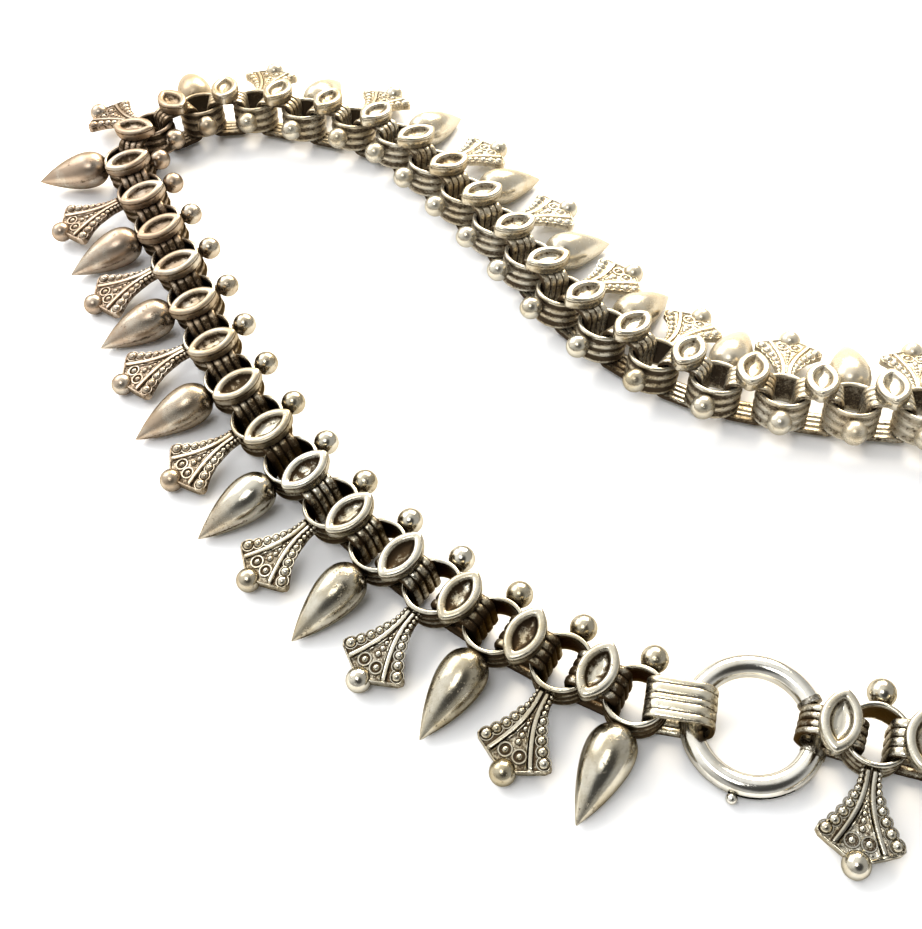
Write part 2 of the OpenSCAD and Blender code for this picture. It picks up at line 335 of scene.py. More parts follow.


# the back is less tarnished and also painted lighter and warmer as painted light, most of all towards the
# right; the links right of the clasp are less tarnished too
wear = dict(
    most=1.25, backFrom=-10, backSpan=30, backShare=0.72, backLessPatinaAndLit=0.72, backLessFilmAndLit=0.35,
    rightFrom=-10, rightSpan=50, rightShare=0.28, leftFrom=-35, leftSpan=40, leftClean=0.2,
    handled=(31, -74), handledReach=20, handledSpan=8, handledClean=0.45,
)
sharpAngle = 42


def wornValues(form, tone):
    # what a finish reads from each point
    w = wear
    x, y = form.points[:, 0], form.points[:, 1]
    right = w["rightShare"] * ease((x - w["rightFrom"]) / w["rightSpan"])
    back = ease((x + y - w["backFrom"]) / w["backSpan"]) * (w["backShare"] + right)
    left = ease((w["leftFrom"] - x) / w["leftSpan"])
    away = np.hypot(x - w["handled"][0], y - w["handled"][1])
    handled = ease((w["handledReach"] - away) / w["handledSpan"])
    # patina and film fall at the back: partly lighter tarnish, partly painted light
    strength = w["most"] - w["backLessPatinaAndLit"] * back - w["leftClean"] * left - w["handledClean"] * handled
    return dict(patina=form.patina * strength, tone=tone - w["backLessFilmAndLit"] * np.maximum(back, handled),
                blush=left, backTintAndLight=back)


def makePiece(node, form, finish, tone, body="necklace"):
    name = node + "_silver"
    mesh = bpy.data.meshes.new(name)
    mesh.from_pydata((form.points * mm).tolist(), [], form.faces)
    mesh.polygons.foreach_set("use_smooth", [True] * len(mesh.polygons))
    mesh.set_sharp_from_angle(angle=math.radians(sharpAngle))
    for key, value in wornValues(form, tone).items():
        mesh.attributes.new(key, "FLOAT", "POINT").data.foreach_set("value", value.astype(np.float32))
    mesh.materials.append(silvers[finish])
    mesh.validate()
    piece = bpy.data.objects.new(name, mesh)
    bpy.context.scene.collection.objects.link(piece)
    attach(piece, body)
    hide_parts(node)


# The chain's way round the table, as the CAD walks it

chain = dict(
    pitch=10, lean=10, linkZ=4.08206, firstHeading=148, firstRing=(1.52, -58.79),
    # how many links, and by how many degrees each one turns
    bends=[(5, -4.5), (4, -4), (3, 1.5), (1, -3.5), (1, -41), (1, -37.5), (1, -31.5), (1, -22), (1, -1),
           (1, -14.5), (1, -19), (4, -2), (2, 9), (1, 12), (1, 13.5), (2, 5), (1, -4), (5, -22), (4, -19)],
    # ring, and degrees there
    leanAlong=[(0, 10), (11, 10), (14, 6), (16, 6), (19, 10), (41, 10)],
    ownTurns=[(25, 0), (26, 1.5), (27, 0.5), (28, -2), (29, 0)],
)


def walkChain():
    turns = [turn for count, turn in chain["bends"] for repeat in range(count)]
    headings = chain["firstHeading"] + np.concatenate([[0], np.cumsum(turns)])
    steps = chain["pitch"] * np.stack([np.cos(np.radians(headings)), np.sin(np.radians(headings))], -1)
    centres = np.vstack([[0, 0], np.cumsum(steps, 0)]) + chain["firstRing"]
    return headings, centres


headings, ringCentres = walkChain()
ringCount = len(ringCentres)


def lookup(rows, place):
    return float(np.interp(place, [row[0] for row in rows], [row[1] for row in rows]))


def atRing(i):
    before, after = headings[max(i - 1, 0)], headings[min(i, ringCount - 2)]
    yaw = (before + after) / 2 - 180 + lookup(chain["ownTurns"], i)
    return shift(*ringCentres[i], chain["linkZ"]) @ turnZ(yaw) @ turnX(lookup(chain["leanAlong"], i))


def atJoint(i):
    middle = (ringCentres[i] + ringCentres[i + 1]) / 2
    return (shift(*middle, chain["linkZ"]) @ turnZ(headings[i] - 180)
            @ turnX(lookup(chain["leanAlong"], i + 0.5)))


# Ring link: reeded band and the ball on its neck side

ringBand = dict(
    wallRadius=3.5, outerRadius=4.1, height=5.0, steps=56, tones=(0.25, 0.75), wallPatina=1.35,
    wireRadius=0.34, wireFrom=215, wireTo=-50, ribs=4, ribHalf=0.58, ribRise=0.26, ribFrom=80,
    topPatina=(1.2, 0.5, 0, 0, 0, 0, 0, 0, 0.3, 0.85),
    ribPatina=(1, 0.75, 0.5, 0.38, 0.5, 0.75, 1),
    lowPatina=(0.9, 0.5, 0.3, 0.3, 0.3, 0.3, 0.3, 0.3, 0.3, 0.9),
)
neckBall = dict(
    lift=0.65, overlap=0.1, ball=dict(radius=1.8, steps=30, rows=20, patina=0.16, lowShade=0.6),
    # radius, reach and patina along the short neck under the ball
    neck=[(1.0, 0, 0.9), (0.86, 0.35, 0.8), (0.8, 0.7, 0.7), (0.9, 1.2, 0.7)], neckFrom=0.15, neckSteps=20,
)


def bandForm():
    b = ringBand
    wire = b["wireRadius"]
    middle, top = b["outerRadius"] - wire, b["height"] / 2 - wire
    profile = list(arc((middle, top), wire, b["wireFrom"], b["wireTo"], len(b["topPatina"])))
    rib = arc((0, 0), 1, b["ribFrom"], -b["ribFrom"], len(b["ribPatina"])) * (b["ribRise"], b["ribHalf"])
    for level in np.linspace(top, -top, b["ribs"])[1:-1]:
        profile += list(rib + (b["outerRadius"] - b["ribRise"], level))
    profile += list(arc((middle, -top), wire, -b["wireTo"], -b["wireFrom"], len(b["lowPatina"])))
    wall = [(b["wallRadius"], level) for level in (-top * 0.5, 0, top * 0.5)]
    patina = b["topPatina"] + b["ribPatina"] * (b["ribs"] - 2) + b["lowPatina"]
    patina += (b["wallPatina"],) * len(wall)
    return revolve((profile + wall)[::-1], patina[::-1], b["steps"], closed=True)


def neckBallForm():
    n = neckBall
    centre = ringBand["outerRadius"] + n["ball"]["radius"] - n["overlap"]
    start = ringBand["wallRadius"] + n["neckFrom"] - centre
    neck = revolve([(radius, start + reach) for radius, reach, dark in n["neck"]],
                   [dark for radius, reach, dark in n["neck"]], n["neckSteps"])
    return ball(**n["ball"]).add(neck).moved(turnX(-90)).moved(shift(0, centre, n["lift"]))


# Pointed drop

pointedDrop = dict(
    start=3.8, reach=17.0, width=6.4, lift=1.49, slope=5.8, rows=44, steps=40,
    tipCrowding=1.35,  # above 1, the rows lie closer together towards the tip
    rootDark=0.85, rootShare=0.07, dent=0.045, dentScale=1.1, stain=0.16, stainScale=0.9, stainSeed=200,
    seam=0.02, seamHalf=0.16, seamFrom=0.6, seamDark=0.35,
    # shares of the length and of the width
    outline=[(0, 0.2), (0.02, 0.42), (0.06, 0.66), (0.12, 0.85), (0.2, 0.965), (0.3, 1), (0.4, 0.965),
             (0.5, 0.88), (0.6, 0.765), (0.7, 0.62), (0.8, 0.45), (0.9, 0.25), (0.97, 0.1), (1, 0.03)],
)


def pointedDropForm(seed):
    d = pointedDrop
    length = d["reach"] - d["start"]
    share = 1 - np.linspace(1, 0, d["rows"]) ** d["tipCrowding"]
    radius = smoothCurve(d["outline"], share) * d["width"] / 2
    patina = d["rootDark"] * np.clip(1 - share / d["rootShare"], 0, 1)
    form = revolve(np.stack([radius, share * length], -1), patina, d["steps"])
    out = form.points * (1, 1, 0)
    size = np.linalg.norm(out, axis=1)
    seam = np.exp(-((out[:, 1] / d["seamHalf"]) ** 2)) * (size > d["seamFrom"])
    push = d["dent"] * wobble(form.points, d["dentScale"], seed) - d["seam"] * seam
    form.points += out / size[:, None] * np.minimum(push, 0)[:, None]  # dents go inwards only
    stain = d["stain"] * (1 + wobble(form.points, d["stainScale"], seed + d["stainSeed"]))
    form.patina = np.clip(form.patina + d["seamDark"] * seam + stain, 0, 1)
    return form.moved(shift(z=d["lift"]) @ turnX(d["slope"]) @ shift(y=-d["start"]) @ turnX(90))


# Fan drop: a stamped plate with ridges, and granules and rosettes on it

fanDrop = dict(
    lift=1.2, slope=3.4, halfWidth=5.15, thick=1.0, underPatina=0.45, uneven=0.04, unevenScale=0.6,
    # reach from the ring's middle, and share of the half width
    outline=[(3.6, 0.22), (5.6, 0.24), (7.2, 0.32), (8.8, 0.43), (10.2, 0.6), (11.3, 0.81), (12, 0.97),
             (12.5, 1), (13.1, 0.91), (13.8, 0.66), (14.4, 0.43), (14.8, 0.28)],
    # reach, and distance from the middle line
    ridgeLine=[(4.2, 0.45), (6.6, 0.5), (8.6, 0.85), (10.4, 1.45), (12, 2.15), (13.6, 2.95)],
    ridgeWidth=0.66, ridgeHeight=0.42, edgeWidth=0.3, edgeHeight=0.24,
    # reach, distance from the middle line, and radius
    sideGranules=[(4.45, 0.98, 0.32), (5.1, 1.0, 0.34), (5.82, 1.07, 0.39), (6.65, 1.2, 0.44),
                  (7.6, 1.47, 0.5), (8.65, 1.88, 0.56), (9.78, 2.46, 0.62), (10.95, 3.2, 0.68),
                  (12.1, 4.02, 0.76)],
    middleGranules=[(8.0, 0, 0.22), (8.65, 0, 0.28), (9.4, 0, 0.33), (10.25, 0, 0.38), (11.2, 0, 0.42)],
    sideRise=0.95, middleRise=0.9,
    # thin wires round the large granules
    cellFrom=0.5, cellApart=0.13, cellWire=0.1, cellLift=0.02, cellSteps=20,
    rosetteReach=12.75, rosetteSide=0.98, rosetteRadius=0.86, rosetteWire=0.16, rosetteLift=0.08,
    rosetteSteps=26, rosetteDot=0.46, dotRise=0.42,
    footReach=15.3, footLift=0.15, foot=dict(radius=1.7, steps=32, rows=20, patina=0.1, lowShade=0.3),
)
fanGrid = dict(
    rows=80, spans=(11, 2, 4, 2, 11, 2, 2, 1),  # columns from each line that they follow to the next
    ridgeOut=0.07, ridgeIn=0.09, edgeLines=(1.25, 0.8, 0.2, 0), leastIn=0.03, leastOut=0.02,
)
fanFace = dict(
    ridgeStart=3.9, startSpan=0.5, ridgeEnd=14.0, endSpan=0.6, ridgeFoot=0.17, ridgeSide=0.4, ridgeCrown=0.1,
    lineApart=0.26, lineHeight=0.26, lineHalf=0.17, lineSide=0.12, lineStart=7.4, lineSpan=1.4,
    edgeInside=1.25, edgeSide=0.13, rimRound=0.09, rimDrop=0.1,
    grainUnder=0.03, grainHeight=0.08, grainX=8.1, grainY=7.3,
    swayX=5.1, swayY=3.7, sideSway=2, reachSway=1.5,
    ground=0.5, outerGround=0.12, riseClean=1.2, rosetteDark=0.95, rosetteReach=0.95, rosetteFade=0.15,
    granuleFade=0.1, ridgeDark=0.9, ridgeFoul=0.2, ridgeFade=0.22,
)
granule = dict(steps=14, lowest=0.02, poleGap=0.12, sink=0.12, patina=(1, 0.85, 0.45, 0.1, 0, 0, 0))
# a wire ring is darkest underneath, where it meets the plate: partly tarnish, partly painted contact shade
wirePatina = (1, 1, 0.6, 0.05, 0.05, 0.6)


def toOutline(x, y):
    # how far a point is from the fan's outline
    corners = np.array(fanDrop["outline"]) * (1, fanDrop["halfWidth"])
    corners = np.vstack([corners, [corners[-1, 0], 0]])
    nearest = np.full(x.shape, np.inf)
    for (y0, x0), (y1, x1) in zip(corners[:-1], corners[1:]):
        along = ((x - x0) * (x1 - x0) + (y - y0) * (y1 - y0)) / ((x1 - x0) ** 2 + (y1 - y0) ** 2)
        along = np.clip(along, 0, 1)
        nearest = np.minimum(nearest, np.hypot(x - x0 - along * (x1 - x0), y - y0 - along * (y1 - y0)))
    return nearest


def fanColumns(y, edge):
    # columns that follow the ridge and the raised edge, from the middle line outwards
    g, line = fanGrid, fanDrop["ridgeLine"]
    ridge = smoothCurve(line, np.clip(y, line[0][0], line[-1][0]))
    half = fanDrop["ridgeWidth"] / 2
    leaning = fanDrop["edgeWidth"] * np.sqrt(1 + np.gradient(edge, y) ** 2)
    stops = np.stack([0 * y, ridge - half - g["ridgeOut"], ridge - half + g["ridgeIn"],
                      ridge + half - g["ridgeIn"], ridge + half + g["ridgeOut"],
                      *[edge - share * leaning for share in g["edgeLines"]]], -1)
    for k in range(stops.shape[1] - 2, 0, -1):
        stops[:, k] = np.minimum(stops[:, k], stops[:, k + 1] - g["leastIn"])
    for k in range(1, stops.shape[1] - 1):
        stops[:, k] = np.maximum(stops[:, k], stops[:, k - 1] + g["leastOut"])
    knots = np.concatenate([[0], np.cumsum(g["spans"])])
    columns = np.stack([np.interp(np.arange(knots[-1] + 1), knots, row) for row in stops])
    return np.hstack([-columns[:, :0:-1], columns]), ridge


def fanHeight(x, y, ridge, across, fade, inside):
    # how high the upper face stands above its ground
    g, f = fanDrop, fanFace
    crown = 1 - f["ridgeCrown"] + f["ridgeCrown"] * np.clip(across, 0, 1)
    height = g["ridgeHeight"] * ease((across + f["ridgeFoot"]) / f["ridgeSide"]) * fade * crown
    line = np.abs(ridge - np.abs(x) - g["ridgeWidth"] / 2 - f["lineApart"])
    line = f["lineHeight"] * ease((f["lineHalf"] - line) / f["lineSide"]) * fade
    height = np.maximum(height, line * ease((y - f["lineStart"]) / f["lineSpan"]))
    border = ease((g["edgeWidth"] * f["edgeInside"] - inside) / f["edgeSide"])
    height = np.maximum(height, g["edgeHeight"] * border)
    grain = (np.sin(x * f["grainX"] + f["sideSway"] * np.sin(y * f["swayY"]))
             * np.sin(y * f["grainY"] + f["reachSway"] * np.sin(x * f["swayX"])))
    return np.where(height < f["grainUnder"], height + f["grainHeight"] * np.clip(grain, 0, 1), height)


def fanPatina(x, y, ridge, across, fade, height):
    # dark on the ground, round each granule and rosette (partly tarnish, partly painted contact shade), and
    # at the ridges' feet
    g, f = fanDrop, fanFace
    side = np.abs(x)
    lane = f["ground"] + f["outerGround"] * (across < 0) * (side > ridge)
    patina = np.clip(lane - f["riseClean"] * height, 0, 1)
    rosette = np.hypot(side - g["rosetteSide"], y - g["rosetteReach"])
    patina = np.maximum(patina, f["rosetteDark"] * ease((f["rosetteReach"] - rosette) / f["rosetteFade"]))
    for reach, apart, radius in g["sideGranules"] + g["middleGranules"]:
        gap = np.hypot(side - apart, y - reach) - radius
        patina = np.maximum(patina, np.exp(-((gap / f["granuleFade"]) ** 2)))
    foot = np.exp(-(((across + f["ridgeFoul"]) / f["ridgeFade"]) ** 2))
    return np.maximum(patina, f["ridgeDark"] * foot * fade)


def fanSurface():
    g, f = fanDrop, fanFace
    y = np.linspace(g["outline"][0][0], g["outline"][-1][0], fanGrid["rows"])
    x, ridge = fanColumns(y, np.interp(y, *np.array(g["outline"]).T) * g["halfWidth"])
    y, ridge = np.broadcast_to(y[:, None], x.shape), ridge[:, None]
    half = g["ridgeWidth"] / 2
    across = (half - np.abs(np.abs(x) - ridge)) / half
    fade = ease((y - f["ridgeStart"]) / f["startSpan"]) * ease((f["ridgeEnd"] - y) / f["endSpan"])
    inside = toOutline(np.abs(x), y)
    height = fanHeight(x, y, ridge, across, fade, inside)
    patina = fanPatina(x, y, ridge, across, fade, height)
    rounded = np.sqrt(np.clip(inside / f["rimRound"], 0, 1))
    return x, y, height * rounded - f["rimDrop"] * (1 - rounded), patina


def dome(radius, rise):
    # a granule, dark where it meets the plate: partly tarnish, partly painted contact shade
    polar = np.linspace(granule["lowest"], math.pi / 2 - granule["poleGap"], len(granule["patina"]) - 1)
    profile = [(radius, -granule["sink"])] + list(zip(radius * np.cos(polar), rise * np.sin(polar)))
    return revolve(profile, granule["patina"], granule["steps"])


def wireRing(radius, wire, steps):
    return revolve(circle((radius, 0), wire, len(wirePatina))[::-1], wirePatina, steps, closed=True)


def fanDecoration():
    g = fanDrop
    form = Form()
    level = g["thick"] / 2
    for sign in (-1, 1):
        for reach, apart, radius in g["sideGranules"]:
            form.add(dome(radius, radius * g["sideRise"]).moved(shift(sign * apart, -reach, level)))
            if radius >= g["cellFrom"]:
                cell = wireRing(radius + g["cellApart"], g["cellWire"], g["cellSteps"])
                form.add(cell.moved(shift(sign * apart, -reach, level + g["cellLift"])))
        middle = (sign * g["rosetteSide"], -g["rosetteReach"])
        rosette = wireRing(g["rosetteRadius"], g["rosetteWire"], g["rosetteSteps"])
        form.add(rosette.moved(shift(*middle, level + g["rosetteLift"])))
        form.add(dome(g["rosetteDot"], g["dotRise"]).moved(shift(*middle, level)))
    for reach, apart, radius in g["middleGranules"]:
        form.add(dome(radius, radius * g["middleRise"]).moved(shift(apart, -reach, level)))
    return form


def fanPlate():
    g = fanDrop
    x, y, height, patina = fanSurface()
    form = Form()
    top = form.grid(np.stack([x, -y, height + g["thick"] / 2], -1), patina).tolist()
    under = np.stack([x, -y, np.full_like(x, -g["thick"] / 2)], -1)[:, [0, -1]]
    low = (len(form.points) + np.arange(len(under) * 2).reshape(-1, 2)).tolist()
    form.points = np.vstack([form.points, under.reshape(-1, 3)])
    form.patina = np.concatenate([form.patina, np.full(len(under) * 2, g["underPatina"])])
    for k in range(len(low) - 1):
        form.faces.append([top[k][0], top[k + 1][0], low[k + 1][0], low[k][0]])
        form.faces.append([low[k][1], low[k + 1][1], top[k + 1][-1], top[k][-1]])
        form.faces.append([low[k][0], low[k + 1][0], low[k + 1][1], low[k][1]])
    form.faces.append([low[-1][1], low[-1][0]] + top[-1])
    form.faces.append([low[0][0], low[0][1]] + top[0][::-1])
    return form.add(fanDecoration())


fanForm = fanPlate()


def fanDropForm(seed):
    g = fanDrop
    form = Form().add(fanForm)
    upper = form.points[:, 2] > 0
    form.points[:, 2] += g["uneven"] * wobble(form.points * (1, 1, 0), g["unevenScale"], seed) * upper
    form.add(ball(**g["foot"]).moved(shift(0, -g["footReach"], g["footLift"])))
    return form.moved(shift(z=g["lift"]) @ turnX(g["slope"]))


def addRingLinks():
    random = np.random.default_rng(7)
    band, neck = bandForm(), neckBallForm()
    for i in range(ringCount):
        kind, drop = ("pointed", pointedDropForm) if i % 2 == 0 else ("fan", fanDropForm)
        form = Form().add(band).add(neck).add(drop(i))
        makePiece("%s_link_%02d" % (kind, i + 1), form.moved(atRing(i)), "ring",
                  random.uniform(*ringBand["tones"]))


addRingLinks()
print("ring links made")


# Marquise link: a reeded strap bent into a loop, with the collet on top

strapShape = dict(
    halfX=2.85, halfZ=2.75, width=4.8, thick=0.85, leftCorner=0.9, rightCorner=0.9, cornerPoints=8,
    ribs=4, ribWidths=(0.88, 1.12), ribStops=(-1, -0.85, -0.58, 0, 0.58, 0.85, 1), ribFullness=3.8,
    groove=0.27, insideGroove=0.2, uneven=0.03, unevenScale=3.2, tones=(0.2, 0.8),
    ribDark=(0.12, 0.4), grooveDark=1, grooveSharpness=5, insideLeast=0.1, insideShare=0.75,
    runDark=0.2, topRun=0.8, blotch=0.25, stain=0,
)
colletShape = dict(
    length=8.3, width=5.0, base=3.6, turn=2.5, steps=30, evenShare=0.7, tipShare=0.3,
    bowlFrom=0.5, rimRounds=4, bowlRounds=2, floorFrom=1.25, floorSpan=0.3, crumple=0.02, crumpleScale=3.6,
    shade=(-0.25, 0.2), blotch=0.35, blotchScale=4.0, blotchSeed=500,
    # inset from the outline, height and patina, from the underside round the rim to the bowl's floor
    wall=[(1.0, -0.12, 0.9), (0.45, -0.06, 0.9), (0.14, 0.08, 0.7), (0.03, 0.4, 0.35), (0, 0.9, 0.15),
          (0, 1.25, 0.2), (0.03, 1.38, 0.5), (0.07, 1.45, 0.7), (0.04, 1.52, 0.4), (0.02, 1.6, 0.15),
          (0.05, 1.76, 0.15), (0.16, 1.92, 0.08), (0.36, 2.02, 0.08), (0.62, 2.05, 0.1), (0.88, 2.03, 0.14),
          (1.08, 1.95, 0.2), (1.19, 1.78, 0.3), (1.27, 1.56, 0.65), (1.4, 1.36, 0.7), (1.58, 1.2, 0.55),
          (1.76, 1.09, 0.5), (1.94, 1.02, 0.45), (2.12, 0.99, 0.4), (2.28, 1.0, 0.35)],
)


def loopPath(s):
    # points and outward directions round a rounded rectangle in X and Z
    points, out = [], []
    for turn, sx, sz in ((0, 1, 1), (90, -1, 1), (180, -1, -1), (270, 1, -1)):
        corner = s["rightCorner"] if sx > 0 else s["leftCorner"]
        for angle in np.radians(turn + np.linspace(0, 90, s["cornerPoints"])):
            out.append((math.cos(angle), math.sin(angle)))
            points.append((sx * (s["halfX"] - corner) + corner * math.cos(angle),
                           sz * (s["halfZ"] - corner) + corner * math.sin(angle)))
    return np.array(points), np.array(out)


def scallops(s, ribWidths):
    # across, height and patina of a strap's outer face, one rounded rib after another
    across, height, patina = [], [], []
    start = -s["width"] / 2
    for k, share in enumerate(np.array(ribWidths, float) / sum(ribWidths)):
        rib = share * s["width"]
        stops = s["ribStops"] if k == len(ribWidths) - 1 else s["ribStops"][:-1]
        for t in stops:
            across.append(start + rib * (t + 1) / 2)
            height.append(s["thick"] - s["groove"] * abs(t) ** s["ribFullness"])
            patina.append(s["ribDark"] + (s["grooveDark"] - s["ribDark"]) * abs(t) ** s["grooveSharpness"])
        start += rib
    return np.array(across), np.array(height), np.array(patina)


def strapForm(ribWidths, seed, **changes):
    s = {**strapShape, **changes}
    path, out = loopPath(s)
    across, height, patina = scallops(s, ribWidths)
    outer = np.arange(len(across) + len(across[::-2])) < len(across)
    across = np.concatenate([across, across[::-2]])  # the inside is reeded too, more faintly
    height = np.concatenate([height, s["insideGroove"] * (s["thick"] - height[::-2]) / s["groove"]])
    patina = np.concatenate([patina, s["insideLeast"] + s["insideShare"] * patina[::-2]])
    points = np.zeros((len(path), len(across), 3))
    points[:, :, 0] = path[:, :1] + out[:, :1] * height
    points[:, :, 1] = across
    points[:, :, 2] = path[:, 1:] + out[:, 1:] * height
    rough = wobble(points.reshape(-1, 3), s["unevenScale"], seed).reshape(points.shape[:2])
    inward = s["uneven"] * (1 + rough) * outer
    points[:, :, 0] -= out[:, :1] * inward
    points[:, :, 2] -= out[:, 1:] * inward
    run = (out[:, 1] < s["topRun"])[:, None]  # all but the run on top is darker
    down = s["runDark"] * run + s["blotch"] * rough
    down = down + s["stain"] * (np.abs(path[:, :1]) / s["halfX"]) ** 3
    form = Form()
    form.grid(points, np.clip(patina + down, 0, 1), wrapRows=True, wrapColumns=True, flip=True)
    return form


def marquiseRing(inset):
    # one ring of points of the marquise outline, this far inside it
    c = colletShape
    radius = (c["length"] ** 2 + c["width"] ** 2) / (4 * c["width"])
    middle = radius - c["width"] / 2
    reach = radius - inset
    half = math.acos(min(1, middle / reach))
    share = np.linspace(-1, 1, c["steps"], endpoint=False)
    # the points lie closer together at the tips
    angles = half * (c["evenShare"] * share + c["tipShare"] * np.sin(share * np.pi / 2))
    right = np.stack([reach * np.cos(angles) - middle, reach * np.sin(angles)], -1)
    ring = np.vstack([right, -right])
    for repeat in range(c["rimRounds"] if inset < c["bowlFrom"] else c["bowlRounds"]):  # rounds the tips
        ring = (np.roll(ring, 1, 0) + 2 * ring + np.roll(ring, -1, 0)) / 4
    return ring


def colletForm(seed, recess):
    c = colletShape
    inset, rise, dark = np.array(c["wall"]).T
    points = np.array([np.insert(marquiseRing(k), 2, c["base"] + z, axis=1) for k, z in zip(inset, rise)])
    form = Form()
    index = form.grid(points, dark[:, None], wrapColumns=True)
    form.cap(index[0], flip=True)
    form.cap(index[-1])
    floor = np.repeat(ease((inset - c["floorFrom"]) / c["floorSpan"]), points.shape[1])
    form.points[:, 2] += c["crumple"] * floor * wobble(form.points, c["crumpleScale"], seed)
    shade = np.random.default_rng(seed).uniform(*c["shade"]) + recess
    blotches = c["blotch"] * wobble(form.points, c["blotchScale"], seed + c["blotchSeed"])
    form.patina = form.patina + floor * (shade + blotches)
    return form


def marquiseForm(random, recess=0.0, colletShift=0.0, **changes):
    seed = int(random.integers(1000))
    ribWidths = random.uniform(*strapShape["ribWidths"], strapShape["ribs"])
    form = strapForm(ribWidths, seed, ribDark=random.uniform(*strapShape["ribDark"]), **changes)
    turn = random.uniform(-1, 1) * colletShape["turn"]
    return form.add(colletForm(seed, recess).moved(shift(x=colletShift) @ turnZ(turn)))


# fromFirst is how far the bolt ring's middle lies from the first ring, and the places count from there
clasp = dict(
    fromFirst=14.5, cleanRecess=-0.35,
    lastStrapPlace=8.98, lastStrapYaw=-9, lastColletShift=0.3,
    lastStrap=dict(halfX=3.15, width=3.75, leftCorner=1.8),
    endStrapPlace=-9.035, endStrapRibs=(1.0, 1.25, 0.8, 1.3, 0.9), endStrapTone=0.4,
    endStrap=dict(halfX=3.615, width=5.2, rightCorner=1.9, groove=0.15, ribDark=0.08, grooveDark=0.38,
                  runDark=0.1, stain=0.2),
)
claspLine = ringCentres[-1] - ringCentres[0]
claspYaw = math.degrees(math.atan2(claspLine[1], claspLine[0]))
claspCentre = ringCentres[0] + clasp["fromFirst"] * claspLine / np.linalg.norm(claspLine)


def atClasp(height):
    return shift(*claspCentre, height) @ turnZ(claspYaw) @ turnX(chain["lean"])


def addMarquiseLinks():
    random = np.random.default_rng(11)
    for node, joints in (("marquise_links_left", range(0, 21)), ("marquise_links_right", range(21, 41))):
        placed = [marquiseForm(random, clasp["cleanRecess"] * (i == 0)).moved(atJoint(i)) for i in joints]
        if node == "marquise_links_right":
            last = marquiseForm(random, clasp["cleanRecess"], clasp["lastColletShift"], **clasp["lastStrap"])
            placed.append(last.moved(atClasp(chain["linkZ"]) @ shift(x=clasp["lastStrapPlace"])
                                     @ turnZ(clasp["lastStrapYaw"])))
        whole, tones = Form(), []
        for form in placed:
            whole.add(form)
            tones += [random.uniform(*strapShape["tones"])] * len(form.points)
        makePiece(node, whole, "strap", np.array(tones))


def addEndStrap():
    form = strapForm(clasp["endStrapRibs"], seed=5, **clasp["endStrap"])
    form = form.moved(atClasp(chain["linkZ"]) @ shift(x=clasp["endStrapPlace"]))
    makePiece("end_strap", form, "endStrap", clasp["endStrapTone"])


addMarquiseLinks()
addEndStrap()
print("marquise links and end strap made")


# Bolt ring; angles are in degrees round its middle

boltRing = dict(
    # seamHalf stands for slotHalf where the tube has no slot, and is a hair's breadth
    radius=7.6, tube=1.45, bore=0.92, tubeSteps=36, angleStep=3.0, centreZ=2.88973, tone=0.4,
    collar=1.57, collarAngle=5, collarEdge=0.1, gapStart=-15, gapEnd=29,
    slotFrom=255, slotTo=307, slotHalf=0.42, slotEdge=0.05, seamHalf=0.004,
    underDark=0.55, underWay=(0.6, -0.8), edgeDark=0.8,
    tongue=0.75, tongueSteps=24, tongueStart=-18, tonguePast=4.01, tonguePatina=0.15,
    knobAngle=259, knobReach=9.6, knob=dict(radius=0.72, steps=20, rows=14, patina=0, lowShade=0.6),
    # shares of the peg's radius and length, and patina
    peg=[(1, 0, 0.6), (1, 0.6, 0.7), (1.15, 1, 0.5)], pegRadius=0.3, pegSteps=16,
)


def torusPoint(theta, section):
    # section is rows of (outward, up) round the tube's middle
    theta = math.radians(theta)
    reach = boltRing["radius"] + section[:, 0]
    return np.stack([reach * math.cos(theta), reach * math.sin(theta), section[:, 1]], -1)


def caseStations():
    # angles and outer radii along the case, with close pairs at the collars and the slot's ends
    b = boltRing
    start, end = b["gapEnd"], b["gapStart"] + 360
    first, last = start + b["collarAngle"], end - b["collarAngle"]
    stations = [(angle, b["collar"]) for angle in (start, first, last, end)]
    stations += [(angle, b["tube"]) for angle in (first + b["collarEdge"], last - b["collarEdge"])]
    between = np.arange(math.ceil(first + 1), math.floor(last), b["angleStep"])
    stations += [(angle, b["tube"]) for angle in between]
    stations += [(angle + side, b["tube"]) for angle in (b["slotFrom"], b["slotTo"])
                 for side in (-b["slotEdge"], b["slotEdge"])]
    return sorted(stations)


def caseForm():
    b = boltRing
    stations = caseStations()
    start, end = stations[0][0], stations[-1][0]
    rows, shades = [], []
    for angle, outer in stations:
        half = b["slotHalf"] if b["slotFrom"] < angle < b["slotTo"] else b["seamHalf"]
        outside = math.degrees(math.asin(half / outer))
        inside = math.degrees(math.asin(half / b["bore"]))
        outerArc = arc((0, 0), outer, outside, 360 - outside, b["tubeSteps"])
        innerArc = arc((0, 0), b["bore"], 360 - inside, inside, b["tubeSteps"] // 2)
        rows.append(torusPoint(angle, np.vstack([outerArc, innerArc])))
        facing = outerArc[:, 0] * b["underWay"][0] + outerArc[:, 1] * b["underWay"][1]
        fromEnd = min(angle - start, end - angle)
        atEdge = min(fromEnd, abs(fromEnd - b["collarAngle"])) < 2 * b["collarEdge"]
        under = np.maximum(b["underDark"] * np.clip(facing / outer, 0, 1), b["edgeDark"] * atEdge)
        shades.append(np.concatenate([under, np.ones(len(innerArc))]))
    form = Form()
    index = form.grid(np.array(rows), np.array(shades), wrapColumns=True)
    form.cap(index[0])
    form.cap(index[-1], flip=True)
    return form


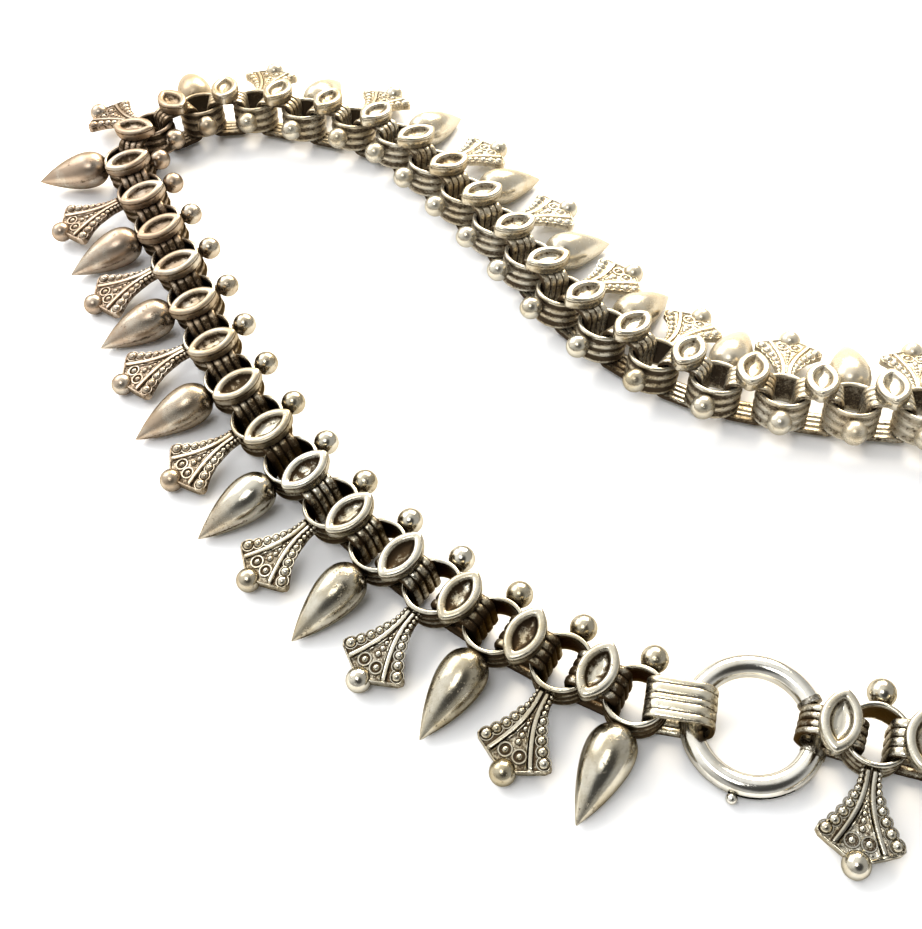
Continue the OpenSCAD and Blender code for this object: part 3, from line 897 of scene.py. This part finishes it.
def tongueForm():
    b = boltRing
    angles = np.arange(b["tongueStart"], b["knobAngle"] + b["tonguePast"], b["angleStep"])
    section = circle((0, 0), b["tongue"], b["tongueSteps"])
    form = Form()
    index = form.grid(np.array([torusPoint(angle, section) for angle in angles]), b["tonguePatina"],
                      wrapColumns=True)
    form.cap(index[0])
    form.cap(index[-1], flip=True)
    length = b["knobReach"] - b["radius"]
    peg = revolve([(b["pegRadius"] * wide, length * high) for wide, high, dark in b["peg"]],
                  [dark for wide, high, dark in b["peg"]], b["pegSteps"])
    knob = ball(**b["knob"]).moved(shift(z=length))
    outward = Matrix.Rotation(math.radians(90), 4, "Y")
    return form.add(peg.add(knob).moved(turnZ(b["knobAngle"]) @ shift(x=b["radius"]) @ outward))


def addBoltRing():
    place = atClasp(boltRing["centreZ"])
    case, tongue = caseForm().moved(place), tongueForm().moved(place)
    makePiece("bolt_ring_case", case, "bolt", boltRing["tone"])
    makePiece("bolt_ring_tongue", tongue, "bolt", boltRing["tone"], "tongue")


addBoltRing()
print("bolt ring made")


# Table and light

studio = dict(
    tableSize=12, tableTone=(0.945, 0.952, 0.96, 1), tableRough=0.7,
    brightSky=(1.64, 1.64, 1.64, 1), dimSky=(0.71, 0.71, 0.71, 1), darkSky=(0, 0, 0, 1),
    brightWay=(-0.6, 0.53, 0.6), brightFrom=0.2, brightTo=0.8,
    darkWay=(0.08, -0.6, 0.796), darkFrom=0.76, darkTo=0.95, darkShare=0.88,
    # name, place, aim, size, power and tone
    lamps=[("windowLight", (-0.45, 0.42, 0.5), (0, 0, 0), (0.6, 0.5), 4.0, (1, 1, 1)),
           ("roomLight", (-0.14, -0.26, 0.62), (0, 0, 0), (0.24, 0.24), 1.2, (1, 1, 1)),
           ("backLight", (0.12, 0.42, 0.3), (0.02, 0.05, 0), (0.4, 0.3), 7.0, (1, 0.88, 0.7))],
)


def addTable():
    bpy.ops.mesh.primitive_plane_add(size=studio["tableSize"], location=(0, 0, 0))
    table = bpy.context.object
    table.name = "paleTable"
    material, surface = newMaterial("paleTable")
    surface.inputs["Base Color"].default_value = studio["tableTone"]
    surface.inputs["Roughness"].default_value = studio["tableRough"]
    table.data.materials.append(material)


def addSky():
    # a bright room, brightest at the back on the left, with one soft dark place high in front
    world = bpy.data.worlds.new("studio")
    world.use_nodes = True
    tree = world.node_tree
    start = Wire(tree, tree.nodes["Background"].outputs[0])
    way = start.make("ShaderNodeTexCoord")

    def towards(aim, low, high):
        facing = start.make("ShaderNodeVectorMath", {"operation": "DOT_PRODUCT"}, {0: way, 1: aim}, 1)
        return facing.step(low, high)

    bright = towards(studio["brightWay"], studio["brightFrom"], studio["brightTo"])
    dark = towards(studio["darkWay"], studio["darkFrom"], studio["darkTo"]) * studio["darkShare"]
    sky = dark.mix(bright.mix(studio["dimSky"], studio["brightSky"]), studio["darkSky"])
    sky.plug(tree.nodes["Background"].inputs["Color"])
    bpy.context.scene.world = world


def addLamps():
    for name, place, aim, size, power, tone in studio["lamps"]:
        data = bpy.data.lights.new(name, "AREA")
        data.shape = "RECTANGLE"
        data.size, data.size_y = size
        data.energy = power
        data.color = tone
        lamp = bpy.data.objects.new(name, data)
        bpy.context.scene.collection.objects.link(lamp)
        lamp.location = place
        lamp.rotation_euler = (Vector(aim) - Vector(place)).to_track_quat("-Z", "Y").to_euler()


addTable()
addSky()
addLamps()
bpy.context.scene.view_settings.view_transform = "Standard"
print("table and light set")
